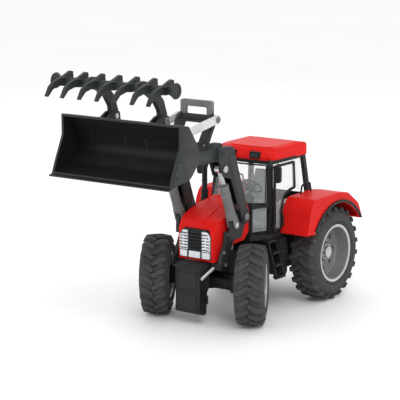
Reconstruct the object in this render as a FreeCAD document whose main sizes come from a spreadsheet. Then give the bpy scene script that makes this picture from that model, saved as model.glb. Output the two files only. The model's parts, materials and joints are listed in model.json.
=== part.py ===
"""Toy farm tractor with a front loader, a bucket and a bale grab, as separate pieces.

Lengths are millimetres. Outlines are drawn with X measured forward from the rear axle, Y to the
tractor's left and Z up from the ground. The row's origin lies originAhead in front of the rear axle.
"""
import FreeCAD, Part

import math
import os

import Sketcher

Vector = FreeCAD.Vector
Rotation = FreeCAD.Rotation
Placement = FreeCAD.Placement

SIZES = {
    "originAhead": 146.1, "wheelBase": 164.0,
    "rearRadius": 57.5, "rearHalfWidth": 18.0, "rearTrack": 62.0, "rearBead": 34.0, "rearLugs": 22,
    "frontRadius": 47.0, "frontHalfWidth": 17.0, "frontBead": 26.0, "frontLugs": 20,
    "kingpinTrack": 43.0, "wheelOffset": 19.0, "steerAngle": 28.0, "kingpinRadius": 2.5,
    "axleRadius": 4.0, "pinRadius": 3.0, "runningGap": 0.05,
    "hoodHalfWidth": 27.5, "hoodWall": 2.2,
    "cabFloorLow": 86.0, "cabFloorHigh": 92.0, "cabLean": 3.0,
    "fenderInside": 43.8, "fenderOutside": 82.0, "fenderArch": 62.0, "fenderWall": 2.5,
    "boomTrack": 37.0, "boomHalfWidth": 8.0, "boomWall": 2.0, "foreArmWidth": 8.0,
    "barrelRadius": 5.5, "rodRadius": 3.2,
    "crankTrack": 20.5, "crankThick": 4.0, "tiltTrack": 26.5, "tiltThick": 4.0,
    "bucketHalfWidth": 80.0, "bucketSide": 3.0,
    "grabTrack": 33.0, "grabHalfWidth": 72.0, "tineThick": 4.0,
}

# Pivots seen from the side, as (X, Z)
BOOM_PIVOT = (145.0, 123.0)
ELBOW = (178.0, 201.0)
BUCKET_PIVOT = (288.0, 200.0)
LIFT_FOOT = (159.0, 115.0)
LIFT_HEAD = (188.0, 184.0)
CRANK_PIVOT = (197.0, 208.0)
CRANK_TOP = (178.0, 237.0)
TILT_HEAD = (280.0, 221.0)
GRAB_PIVOT = (289.0, 250.0)
GRAB_BEAM = (328.0, 289.0)
HOOD_HINGE = (116.5, 130.0)
HOOD_PIN = 1.6

doc = FreeCAD.newDocument("ToyTractor")
sheet = doc.addObject("Spreadsheet::Sheet", "Sizes")
for row, (alias, number) in enumerate(SIZES.items(), 1):
    sheet.set(f"A{row}", alias)
    sheet.set(f"B{row}", str(number))
    sheet.setAlias(f"B{row}", alias)
doc.recompute()

nodes = {}
count = 0


def size(alias):
    return float(getattr(sheet, alias))


def new(kind, hint):
    """Adds a document object under a name that is not used yet."""
    global count
    count += 1
    return doc.addObject(kind, f"{hint}{count}")


def bind(thing, prop, value):
    """Drives a property by a number or by a formula of the sheet's cells, such as "Sizes.rearTrack"."""
    thing.setExpression(prop, str(value))


def place(thing, x=0.0, y=0.0, z=0.0):
    bind(thing, "Placement.Base.x", f"({x}) - Sizes.originAhead")
    bind(thing, "Placement.Base.y", y)
    bind(thing, "Placement.Base.z", z)
    return thing


def block(x0, x1, y0, y1, z0, z1):
    """A box between two limits on each axis."""
    box = new("Part::Box", "Block")
    for prop, low, high in (("Length", x0, x1), ("Width", y0, y1), ("Height", z0, z1)):
        bind(box, prop, f"({high}) - ({low})")
    return place(box, x0, y0, z0)


def turn_to(direction):
    return Rotation(Vector(0, 0, 1), direction)


def rod(start, end, radius):
    """A round bar between two points."""
    start, end = Vector(*start), Vector(*end)
    cylinder = new("Part::Cylinder", "Rod")
    bind(cylinder, "Radius", radius)
    bind(cylinder, "Height", (end - start).Length)
    cylinder.Placement = Placement(Vector(), turn_to(end - start))
    return place(cylinder, start.x, start.y, start.z)


def bar(start, end, wide, deep):
    """A square-edged bar between two points: wide along X where it can be, deep across."""
    start, end = Vector(*start), Vector(*end)
    along = (end - start).normalize()
    across = along.cross(Vector(1, 0, 0))
    if across.Length < 0.2:
        across = Vector(0, 1, 0)
    across.normalize()
    fore = across.cross(along).normalize()
    box = new("Part::Box", "Bar")
    bind(box, "Length", wide)
    bind(box, "Width", deep)
    bind(box, "Height", (end - start).Length)
    corner = start - fore * (wide / 2) - across * (deep / 2)
    box.Placement = Placement(Vector(), Rotation(fore, across, along, "ZXY"))
    return place(box, corner.x, corner.y, corner.z)


def edges_of(points):
    """Lines and arcs round a closed outline; a third value on a point rounds that corner.

    Each comes with its first and last end: 1 and 2, or 2 and 1 on an arc that turns clockwise."""
    starts, ends, arcs, reaches = [], [], [], []
    total = len(points)
    for i, point in enumerate(points):
        here = Vector(point[0], point[1])
        before = Vector(*points[i - 1][:2])
        after = Vector(*points[(i + 1) % total][:2])
        radius = point[2] if len(point) > 2 else 0
        if not radius:
            reaches.append(0)
            starts.append(here)
            ends.append(here)
            arcs.append(None)
            continue
        back, forth = (before - here).normalize(), (after - here).normalize()
        half = back.getAngle(forth) / 2
        reach = radius / math.tan(half)
        reaches.append(reach)
        middle = here + (back + forth).normalize() * (radius / math.sin(half) - radius)
        first, last = here + back * reach, here + forth * reach
        starts.append(first)
        ends.append(last)
        clockwise = (here - before).cross(after - here).z < 0
        arcs.append((Part.Arc(first, middle, last), (2, 1) if clockwise else (1, 2)))
    made = []
    for i in range(total):
        length = math.dist(points[i][:2], points[(i + 1) % total][:2])
        if reaches[i] + reaches[(i + 1) % total] > length - 0.01:
            raise ValueError(f"corners too round between {points[i]} and {points[(i + 1) % total]}")
        if arcs[i]:
            made.append(arcs[i])
        made.append((Part.LineSegment(ends[i], starts[(i + 1) % total]), (1, 2)))
    return made


def sketch_on(body, role, points, hint="Outline"):
    sketch = body.newObject("Sketcher::SketchObject", f"{hint}{count}")
    plane = [item for item in body.Origin.OriginFeatures if item.Role == role][0]
    sketch.AttachmentSupport = [(plane, "")]
    sketch.MapMode = "FlatFace"
    made = edges_of(points)
    first = sketch.addGeometry([edge for edge, order in made], False)[0]
    for i, (edge, order) in enumerate(made):
        following = (i + 1) % len(made)
        sketch.addConstraint(Sketcher.Constraint("Coincident", first + i, order[1],
                                                 first + following, made[following][1][0]))
    return sketch


PLANES = {"side": "XZ_Plane", "top": "XY_Plane", "front": "YZ_Plane"}


def prism(view, points, thick, centre):
    """An outline seen from the side, the top or the front, made thick either way of a centre plane.

    Side outlines are (X, Z) points, top outlines (X, Y) and front outlines (Y, Z)."""
    body = new("PartDesign::Body", "Plate")
    sketch = sketch_on(body, PLANES[view], points)
    pad = body.newObject("PartDesign::Pad", f"Pad{count}")
    pad.Profile = sketch
    bind(pad, "Length", thick)
    pad.Midplane = True
    x, y, z = {"side": (0, centre, 0), "top": (0, 0, centre), "front": (centre, 0, 0)}[view]
    return place(body, x, y, z)


def turned(points, centre, turn):
    """A ring turned from (radius, along) points about its own Z axis, then rotated and set at centre."""
    body = new("PartDesign::Body", "Turned")
    sketch = sketch_on(body, "XZ_Plane", points, "Section")
    revolution = body.newObject("PartDesign::Revolution", f"Revolution{count}")
    revolution.Profile = sketch
    revolution.ReferenceAxis = (sketch, ["V_Axis"])
    revolution.Angle = 360
    body.Placement = Placement(Vector(), turn)
    return place(body, *centre)


def joined(parts):
    if len(parts) == 1:
        return parts[0]
    fuse = new("Part::MultiFuse", "Joined")
    fuse.Shapes = parts
    return fuse


def common(parts):
    shared = new("Part::MultiCommon", "Common")
    shared.Shapes = parts
    return shared


def cut(base, tools):
    """Takes the tools away from the base."""
    result = new("Part::Cut", "Cut")
    result.Base = base
    result.Tool = joined(tools)
    return result


def group(parts):
    """Separate solids that share one node."""
    compound = new("Part::Compound", "Group")
    compound.Links = parts
    return compound


def mirrored(part):
    """The same piece on the other side of the tractor."""
    mirror = new("Part::Mirroring", "Mirror")
    mirror.Source = part
    mirror.Base = (0, 0, 0)
    mirror.Normal = (0, 1, 0)
    return mirror


def both(make):
    """One piece on each side, made by a function of the side's sign."""
    return [make(1), make(-1)]


def deliver(name, part):
    part.Label = name
    nodes[name] = part
    return part


def inset(points, distance):
    """The outline moved inwards by a distance; its points run anticlockwise."""
    lines = []
    flat = [Vector(p[0], p[1]) for p in points]
    for i, here in enumerate(flat):
        there = flat[(i + 1) % len(flat)]
        along = (there - here).normalize()
        lines.append((here + Vector(-along.y, along.x) * distance, along))
    moved = []
    for i, point in enumerate(points):
        (p, a), (q, b) = lines[i - 1], lines[i]
        across = a.x * b.y - a.y * b.x
        reach = ((q.x - p.x) * b.y - (q.y - p.y) * b.x) / across
        corner = p + a * reach
        rest = [max(point[2] - distance, 0)] if len(point) > 2 else []
        moved.append((corner.x, corner.y, *rest))
    return moved


def eye(pivot, radius, width, centre):
    """A round boss across the tractor, centred on a side plane."""
    return rod((pivot[0], centre - width / 2, pivot[1]), (pivot[0], centre + width / 2, pivot[1]), radius)


def pin_hole(pivot, centre, width=30.0):
    """The tool for a hole in which a pivot pin runs."""
    return eye(pivot, "Sizes.pinRadius + Sizes.runningGap", width, centre)


# ---------------------------------------------------------------- wheels

def tyre(radius, half_width, bead, lugs, centre, turn):
    """A hollow tyre with angled lugs, made about its own axle and then set in place."""
    body = new("PartDesign::Body", "Tyre")
    carcass = radius - 3.4
    wall = half_width - 2.0
    half = [(bead, wall - 1.5, 1), (bead + 5, half_width, 3), (carcass - 7, half_width, 6), (carcass, wall - 4, 3)]
    section = half + [(r, -along, corner) for r, along, corner in reversed(half)]
    # Sketch points on the XZ plane are (radius, along); the axle is the body's Z axis.
    base = sketch_on(body, "XZ_Plane", section, "Carcass")
    ring = body.newObject("PartDesign::Revolution", f"Ring{count}")
    ring.Profile = base
    ring.ReferenceAxis = (base, ["V_Axis"])
    ring.Angle = 360
    lug_reach = half_width - 0.6
    for name, sign, shift in (("Left", 1, 0.0), ("Right", -1, 180.0 / lugs)):
        outline = [(sign * 0.2, -2.2), (sign * lug_reach * 0.55, 3.0), (sign * lug_reach, 4.6),
                   (sign * lug_reach, 9.8), (sign * lug_reach * 0.5, 8.2), (sign * 0.2, 2.2)]
        # The lug is drawn on the plane that faces the axle: Y round the tyre, Z along the axle.
        points = [(y, z) for z, y in outline]
        lug_sketch = sketch_on(body, "YZ_Plane", points, f"Lug{name}")
        round_tyre = Rotation(Vector(0, 1, 0), shift)
        lug_sketch.AttachmentOffset = Placement(round_tyre.multVec(Vector(0, 0, carcass - 3.0)), round_tyre)
        lug = body.newObject("PartDesign::Pad", f"Lug{name}{count}")
        lug.Profile = lug_sketch
        lug.Length = radius - carcass + 4.0
        pattern = body.newObject("PartDesign::PolarPattern", f"Lugs{name}{count}")
        pattern.Originals = [lug]
        axis = [item for item in body.Origin.OriginFeatures if item.Role == "Z_Axis"][0]
        pattern.Axis = (axis, [""])
        pattern.Angle = 360
        pattern.Occurrences = int(lugs)
        body.Tip = pattern
    far = radius + 12
    outside = [(radius, -4), (radius, 4), (radius - 1.6, half_width - 3), (carcass - 5, half_width + 0.4),
               (carcass - 5, half_width + 9), (far, half_width + 9), (far, -half_width - 9),
               (carcass - 5, -half_width - 9), (carcass - 5, -half_width - 0.4), (radius - 1.6, 3 - half_width)]
    inside = [(bead - 4, wall - 4.5), (bead + 4, half_width - 3, 2), (carcass - 8, half_width - 3, 4),
              (carcass - 3, wall - 7, 2), (carcass - 3, 7 - wall, 2), (carcass - 8, 3 - half_width, 4),
              (bead + 4, 3 - half_width, 2), (bead - 4, 4.5 - wall)]
    body.Placement = Placement(Vector(), turn)
    place(body, *centre)
    return cut(cut(body, [turned(outside, centre, turn)]), [turned(inside, centre, turn)])


def rim(bead, half_width, centre, turn, holes, bore):
    """A dished wheel centre: barrel, lips, disc with round holes, and a hub with its bore."""
    edge = half_width - 2.2
    section = [(bore, -9.4), (10, -9.4, 1), (11, -5, 1), (bead - 4, -3.5, 1), (bead - 2.4, -edge),
               (bead + 1.5, -edge - 0.4), (bead - 0.05, -edge + 2.4), (bead - 0.05, edge - 2.4),
               (bead + 1.5, edge + 0.4), (bead - 2.4, edge), (bead - 4, -0.5, 1), (12, -0.5, 1), (10, 4, 1),
               (bore, 4)]
    body = new("PartDesign::Body", "Rim")
    base = sketch_on(body, "XZ_Plane", section, "RimSection")
    ring = body.newObject("PartDesign::Revolution", f"RimRing{count}")
    ring.Profile = base
    ring.ReferenceAxis = (base, ["V_Axis"])
    ring.Angle = 360
    hole_sketch = body.newObject("Sketcher::SketchObject", f"RimHole{count}")
    plane = [item for item in body.Origin.OriginFeatures if item.Role == "XY_Plane"][0]
    hole_sketch.AttachmentSupport = [(plane, "")]
    hole_sketch.MapMode = "FlatFace"
    hole_sketch.addGeometry(Part.Circle(Vector((bead + 9) / 2, 0, 0), Vector(0, 0, 1), bead * 0.085), False)
    pocket = body.newObject("PartDesign::Pocket", f"RimPocket{count}")
    pocket.Profile = hole_sketch
    pocket.Midplane = True
    pocket.Length = 16
    pattern = body.newObject("PartDesign::PolarPattern", f"RimHoles{count}")
    pattern.Originals = [pocket]
    axis = [item for item in body.Origin.OriginFeatures if item.Role == "Z_Axis"][0]
    pattern.Axis = (axis, [""])
    pattern.Angle = 360
    pattern.Occurrences = holes
    body.Tip = pattern
    body.Placement = Placement(Vector(), turn)
    return place(body, *centre)


def wheels():
    bore = size("axleRadius") + size("runningGap")
    outward = Rotation(Vector(1, 0, 0), -90)
    rear_y = size("rearTrack")
    rear_z = size("rearRadius")
    for side, name in ((1, "left"), (-1, "right")):
        facing = Rotation(Vector(0, 0, 1), 0 if side > 0 else 180) * outward
        spot = (0, side * rear_y, rear_z)
        deliver(f"rear_rim_{name}", rim(size("rearBead"), size("rearHalfWidth"), spot, facing, 8, bore))
    rear = tyre(rear_z, size("rearHalfWidth"), size("rearBead"), size("rearLugs"),
                (0, rear_y, rear_z), outward)
    deliver("rear_tyre_left", rear)
    deliver("rear_tyre_right", mirrored(rear))
    steer = size("steerAngle")
    swing = Rotation(Vector(0, 0, 1), steer)
    for side, name in ((1, "left"), (-1, "right")):
        kingpin = Vector(size("wheelBase"), side * size("kingpinTrack"), size("frontRadius"))
        centre = kingpin + swing.multVec(Vector(0, side * size("wheelOffset"), 0))
        turn = swing * (outward if side > 0 else Rotation(Vector(0, 0, 1), 180) * outward)
        spot = (centre.x, centre.y, centre.z)
        deliver(f"front_rim_{name}", rim(size("frontBead"), size("frontHalfWidth"), spot, turn, 6, bore))
        deliver(f"front_tyre_{name}", tyre(size("frontRadius"), size("frontHalfWidth"), size("frontBead"),
                                           size("frontLugs"), spot, turn))


# ---------------------------------------------------------------- chassis

def chassis():
    beam = [(-26, 46), (-26, 86, 2), (30, 86), (104, 86, 2), (112, 76, 6), (160, 76), (164, 72), (186, 72), (186, 62),
            (147, 62), (143, 42, 2), (133, 42, 2), (124, 56, 4), (34, 44, 6)]
    gearbox = block(-27, 32, -30, 30, 40, 86)
    tubes = rod((0, -52, 57.5), (0, 52, 57.5), 9.5)
    spine = prism("side", beam, 32, 0)
    rail_foot = block(164, 178, -33.5, 33.5, 64, 72)
    body = joined([spine, gearbox, tubes, rail_foot])
    bore = rod((0, -60, 57.5), (0, 60, 57.5), "Sizes.axleRadius")
    pivot = rod((128, 0, 47), (150, 0, 47), "Sizes.axleRadius")
    deliver("chassis_frame", cut(body, [bore, pivot]))

    caps = [rod((0, side * 66.3, 57.5), (0, side * 69, 57.5), 7) for side in (1, -1)]
    deliver("rear_axle", joined([rod((0, -68, 57.5), (0, 68, 57.5), "Sizes.axleRadius")] + caps))

    nose = [(178, 42), (178, 62), (186, 62), (186, 71.5), (191, 71.5, 3), (197, 66, 3), (197, 15, 2), (190, 12, 2),
            (184, 12, 2), (182, 38, 4)]
    front = cut(prism("side", nose, 34, 0), [rod((177, 0, 47), (184, 0, 47), "Sizes.axleRadius")])
    wings = prism("front", [(-19, 14, 2), (19, 14, 2), (17, 30, 2), (-17, 30, 2)], 5, 193)
    deliver("front_support", joined([front, wings]))

    jaw = joined([block(170, 184.5, -6, 6, 19, 28), eye((170, 23.5), 0.5, 12, 0),
                  rod((169, 0, 19), (169, 0, 28), 7.5)])
    deliver("front_coupler", cut(jaw, [rod((169, 0, 10), (169, 0, 40), 3.0)]))

    tongue = [(-27, 50), (-27, 72), (-36, 72, 2), (-42, 66, 2), (-68, 66, 4), (-68, 60, 1), (-44, 60, 2),
              (-44, 54, 2), (-68, 54, 1), (-68, 48, 4), (-38, 48, 3)]
    jaw = prism("side", tongue, 20, 0)
    deliver("rear_hitch", cut(jaw, [rod((-59, 0, 40), (-59, 0, 80), "Sizes.pinRadius + Sizes.runningGap")]))
    pin = joined([rod((-59, 0, 46.5), (-59, 0, 72), "Sizes.pinRadius"), rod((-59, 0, 66.4), (-59, 0, 68.6), 5),
                  cut(rod((-59, -1.2, 76), (-59, 1.2, 76), 5.5), [rod((-59, -3, 76), (-59, 3, 76), 3.2)])])
    deliver("hitch_pin", pin)

    engine = joined([block(120, 162, -15, 15, 84.3, 108), block(126, 156, -11, 11, 104, 115),
                     rod((162, 0, 96), (166, 0, 96), 11)]
                    + [rod((x, 0, 112), (x, 0, 118.5), 3) for x in (131, 141, 151)]
                    + [rod((x, -19, 100), (x, 19, 100), 3) for x in (128, 138, 148, 158)])
    stand = block(122, 159, -12, 12, 76, 86)
    deliver("engine_block", joined([engine, stand]))


def front_axle():
    """The axle beam swings on the pendulum pin; each end carries a steering knuckle."""
    z = size("frontRadius")
    x = size("wheelBase")
    track = size("kingpinTrack")
    beam = [(-track, z - 6), (-20, z - 6.5), (-12, z - 8, 3), (12, z - 8, 3), (20, z - 6.5), (track, z - 6),
            (track, z + 5), (20, z + 5.5, 3), (10, z + 7, 3), (-10, z + 7, 3), (-20, z + 5.5, 3), (-track, z + 5)]
    body = joined([prism("front", beam, 11, x)]
                  + [rod((x, side * track, z - 6.5), (x, side * track, z + 7.5), 6) for side in (1, -1)])
    swing_bore = rod((x - 12, 0, z), (x + 12, 0, z), "Sizes.axleRadius + Sizes.runningGap")
    kingpins = [rod((x, side * track, z - 12), (x, side * track, z + 12), "Sizes.kingpinRadius + Sizes.runningGap")
                for side in (1, -1)]
    deliver("front_axle_beam", cut(body, [swing_bore] + kingpins))
    for side, name in ((1, "left"), (-1, "right")):
        deliver(f"knuckle_{name}", knuckle(side, x, side * track, z))
    arm = 14.0
    angle = math.radians(size("steerAngle"))
    end_x, shift = x - arm * math.cos(angle), -arm * math.sin(angle)
    near, far = end_x - 5.4, end_x + 4.1
    low, high = shift - track, shift + track
    link = prism("top", [(near, low - 4.5, 3), (far, low - 4.5, 3), (far, low + 5, 3), (far - 2.5, low + 9, 3),
                         (far - 2.5, high - 9, 3), (far, high - 5, 3), (far, high + 4.5, 3), (near, high + 4.5, 3),
                         (near, high - 5, 3), (near + 2.5, high - 9, 3), (near + 2.5, low + 9, 3),
                         (near, low + 5, 3)], 2.6, z + 6.6)
    slots = [prism("top", [(near + 2, y - 1.8, 1.7), (far - 2, y - 1.8, 1.7), (far - 2, y + 1.8, 1.7),
                           (near + 2, y + 1.8, 1.7)], 8, z + 6.6) for y in (low, high)]
    deliver("tie_rod", cut(link, slots))


def knuckle(side, x, y, z):
    """Kingpin, two discs, the upright, the stub axle and the steering arm, turned to the steering angle."""
    def local(px, py, pz):
        spot = Rotation(Vector(0, 0, 1), size("steerAngle")).multVec(Vector(px, py * side, 0))
        return x + spot.x, y + spot.y, z + pz
    hub_end = size("wheelOffset") + 4.3
    parts = [rod(local(0, 0, -9.5), local(0, 0, 11), "Sizes.kingpinRadius"),
             rod(local(0, 0, -9.6), local(0, 0, -7), 5.5),
             rod(local(0, 0, 8.2), local(0, 0, 11), 5.5),
             bar(local(0, 0, -8.3), local(0, 7, -8.3), 9, 2.6),
             bar(local(0, 0, 9.6), local(0, 7, 9.6), 9, 2.8),
             prism("top", [local(px, py, 0)[:2] for px, py in ((-4.5, 6.4), (4.5, 6.4), (4.5, 8.8), (-4.5, 8.8))],
                   20.6, z + 0.7),
             bar(local(0, 0, 9.6), local(-17, 0, 9.6), 5.4, 2.8),
             rod(local(-14, 0, 5.0), local(-14, 0, 9), 1.5),
             rod(local(0, 6.6, 0), local(0, hub_end + 2, 0), "Sizes.axleRadius"),
             rod(local(0, hub_end, 0), local(0, hub_end + 2.6, 0), 6.5)]
    return joined(parts)


# ---------------------------------------------------------------- hood

def hood():
    outline = [(113, 98), (122, 89.5, 6), (150, 88, 6), (161, 83, 5), (172, 72.5, 3), (181.5, 72.5, 2),
               (182, 104, 10), (173, 118, 10), (150, 127.5, 60), (113, 136.5)]
    wall = size("hoodWall")
    outer = common([prism("side", outline, "2 * Sizes.hoodHalfWidth", 0),
                    prism("top", [(110, -28.6), (166, -27, 40), (181, -24.6, 8), (190, -10), (190, 10),
                                  (181, 24.6, 8), (166, 27, 40), (110, 28.6)], 100, 110),
                    prism("front", [(-27.5, 70), (27.5, 70), (27.5, 126, 12), (20, 140, 12), (-20, 140, 12),
                                    (-27.5, 126, 12)], 90, 145)])
    hollow = common([prism("side", [(100, 60), (178.8, 60), (179.4, 103.5, 8), (171, 115.9, 8), (149, 125.3, 60),
                                    (100, 137.3)], 60, 0),
                     prism("top", [(100, -28.6 + wall), (165, -27 + wall, 40), (179, -22.4, 6), (179, 22.4, 6),
                                   (165, 27 - wall, 40), (100, 28.6 - wall)], 160, 110),
                     prism("front", [(-25.3, 60), (25.3, 60), (25.3, 125, 10), (18.5, 138, 10), (-18.5, 138, 10),
                                     (-25.3, 125, 10)], 100, 145)])
    window = prism("front", [(-22, 75), (22, 75), (22, 103, 3), (17, 109.5, 3), (-17, 109.5, 3), (-22, 103, 3)],
                   30, 184)
    hinge = eye(HOOD_HINGE, f"{HOOD_PIN} + Sizes.runningGap", 70, 0)
    ears = [block(113.4, 120, y - 1.5, y + 1.5, 127.2, 134.2) for y in (-23, 23)]
    deliver("hood", cut(joined([cut(outer, [hollow, window])] + ears), [hinge]))

    frame = prism("front", [(-21.7, 75.3), (21.7, 75.3), (21.7, 102.8, 3), (16.8, 109.2, 3), (-16.8, 109.2, 3),
                            (-21.7, 102.8, 3)], 3, 179.6)
    ribs = [block(180, 182.6, -7.5, 7.5, z, z + 1.6) for z in range(85, 108, 4)]
    posts = [block(180, 182.4, y - 0.9, y + 0.9, 84, 108) for y in (-8.4, 8.4)]
    deliver("grille", joined([frame] + ribs + posts))
    lamps = [prism("front", [(side * 10, 84.5), (side * 21, 84.5), (side * 21, 102, 2), (side * 17, 107.4, 2),
                             (side * 10, 107.4)][::side], 2.2, 182.2) for side in (1, -1)]
    strip = prism("front", [(-20.8, 76.2, 1), (20.8, 76.2, 1), (20.8, 83.6, 1), (-20.8, 83.6, 1)], 2.2, 182.2)
    deliver("nose_lights", group(lamps + [strip]))


# ---------------------------------------------------------------- cab

def cab():
    low, high = size("cabFloorLow"), size("cabFloorHigh")
    deliver("cab_floor", prism("top", [(6, -42), (90, -44), (112, -29), (112, 29), (90, 44), (6, 42)],
                               "Sizes.cabFloorHigh - Sizes.cabFloorLow", (low + high) / 2))
    posts = []
    for side in (1, -1):
        posts += [bar((89, side * 41.2, high), (82.5, side * 36.6, 178), 7, 4.4),
                  bar((5.2, side * 41, high), (5.2, side * 41, 130), 6.5, 4.4),
                  bar((5.2, side * 41, 128), (11, side * 36.6, 178), 6.5, 4.4),
                  bar((9, side * 36.8, 175), (84, side * 36.8, 175), 0.1 + 3.9, 4),
                  bar((6, side * 41, 94), (90, side * 41.2, 94), 3.4, 3.6),
                  bar((88, side * 40, 126), (110.7, side * 29.2, 126), 4, 3.6),
                  bar((110.7, side * 29.2, high), (110.7, side * 29.2, 127.8), 3.4, 3.0),
                  cut(prism("side", [(109.4, 124.5), (112.4, 124.5), (119, 127.4), (119, 132.5, 2.2),
                                     (114.2, 132.5, 2.2), (113.6, 128.6), (109.4, 126.8)], 2.4, side * 19.5),
                      [eye(HOOD_HINGE, HOOD_PIN, 6, side * 19.5)])]
    posts += [block(80, 84, -38, 38, 173, 177), block(9, 13, -38, 38, 173, 177),
              block(3, 6, -42, 42, high, 128), block(109, 112.4, -30, 30, high, 96),
              block(109, 112.4, -30, 30, 124.2, 127.8)]
    deliver("cab_frame", joined(posts))

    roof = common([prism("side", [(3.5, 176), (82, 174.5, 2), (85, 181, 4), (80, 190.2, 6), (60, 191.2),
                                  (10, 191.2, 4), (2.5, 186, 4)], 90, 0),
                   prism("top", [(2, -39.5, 5), (2, 39.5, 5), (74, 37.5, 9), (85.5, 30, 9), (85.5, -30, 9),
                                 (74, -37.5, 9)], 60, 183)])
    hollow = prism("top", [(6, -35.6, 3), (6, 35.6, 3), (73, 33.8, 6), (81, 27.5, 6), (81, -27.5, 6),
                           (73, -33.8, 6)], 30, 172.5)
    deliver("cab_roof", cut(roof, [hollow]))
    lights = [prism("front", [(y - 7, 178.6, 1.5), (y + 7, 178.6, 1.5), (y + 7, 187.2, 1.5), (y - 7, 187.2, 1.5)],
                    3.4, 84.0) for y in (17, -17)]
    deliver("roof_light_panels", group(lights))

    quarter = [glass_between((92.6, side * 38.6), (110.2, side * 30.4), 96.4, 123.8) for side in (1, -1)]
    screen = new("Part::Feature", "Windscreen")
    screen.Shape = bowed_pane()
    screen.Placement = Placement(Vector(-size("originAhead"), 0, 0), Rotation())
    deliver("windscreen", screen)
    deliver("rear_window", bar((9.6, 0, 131), (11.6, 0, 172.6), 1.2, 66))
    sides = [prism("side", [(13.5, 134, 2), (34.4, 137, 2), (34.4, 172.6, 2), (16.6, 172.6, 2)], 1.2, 0)
             for side in (1, -1)]
    for pane, side in zip(sides, (1, -1)):
        lean([pane], side, 40.6)
    deliver("side_windows", group(sides + quarter))


def lean(pieces, side, base_y):
    """Leans upright side pieces in at the top, about the line where they meet the cab floor's height."""
    doc.recompute()
    floor = Vector(0, 0, size("cabFloorHigh"))
    turn = Rotation(Vector(1, 0, 0), size("cabLean") * side)
    for piece in pieces:
        for prop in ("Placement.Base.y", "Placement.Base.z"):
            piece.setExpression(prop, None)
        here = piece.Placement
        spot = turn.multVec(here.Base - floor) + floor + Vector(0, side * base_y, 0)
        piece.Placement = Placement(Vector(here.Base.x, spot.y, spot.z), turn * here.Rotation)


def glass_between(start, end, low, high, thick=1.2):
    """An upright flat pane between two points seen from above."""
    a, b = Vector(*start), Vector(*end)
    across = (b - a).normalize().cross(Vector(0, 0, 1)) * (thick / 2)
    corners = [a - across, b - across, b + across, a + across]
    return prism("top", [(p.x, p.y) for p in corners], high - low, (low + high) / 2)


def bowed_pane():
    """The windscreen: a pane ruled between a bowed lower edge and a flatter upper one."""
    def edge(middle, end, half, z, inner):
        return Part.Wire(Part.Arc(Vector(end - inner, -half, z), Vector(middle - inner, 0, z),
                                  Vector(end - inner, half, z)).toShape())
    thick = 1.2
    lower = [edge(109.5, 93.0, 38.0, 128.2, inner) for inner in (0, thick)]
    upper = [edge(88.6, 85.2, 34.0, 172.6, inner) for inner in (0, thick)]
    return Part.makeLoft([closed(lower), closed(upper)], True, True)


def closed(pair):
    """Joins two arcs into one closed outline."""
    outer, inner = pair[0].Edges[0], pair[1].Edges[0]
    ends = [(outer.Vertexes[0].Point, inner.Vertexes[0].Point), (outer.Vertexes[1].Point, inner.Vertexes[1].Point)]
    caps = [Part.makeLine(a, b) for a, b in ends]
    return Part.Wire(Part.__sortEdges__([outer, inner] + caps))


DOOR = [(70.5, 94.5, 2), (86.6, 94.5, 2), (80.6, 172.4, 3), (36.5, 172.4, 3), (36.5, 139.5, 3), (49, 137.5, 8),
        (61.5, 134, 8), (69, 117, 6)]


def doors():
    """Flat frames hung on the front pillars, each with an outside grip and its own pane."""
    for side, name in ((1, "left"), (-1, "right")):
        outer = prism("side", DOOR, 2.4, 0)
        opening = prism("side", inset(DOOR, 3.0), 8, 0)
        out = side * 3.4
        grip = [rod((70.5, out, 100), (71.6, out, 114), 1.1), rod((70.5, 0, 101), (70.5, out, 101), 1.1),
                rod((71.5, 0, 113), (71.5, out, 113), 1.1)]
        pane = prism("side", inset(DOOR, 3.05), 1.2, 0)
        lean([outer, opening, pane] + grip, side, 45.4)
        deliver(f"door_{name}", joined([cut(outer, [opening])] + grip))
        deliver(f"door_pane_{name}", pane)


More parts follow.
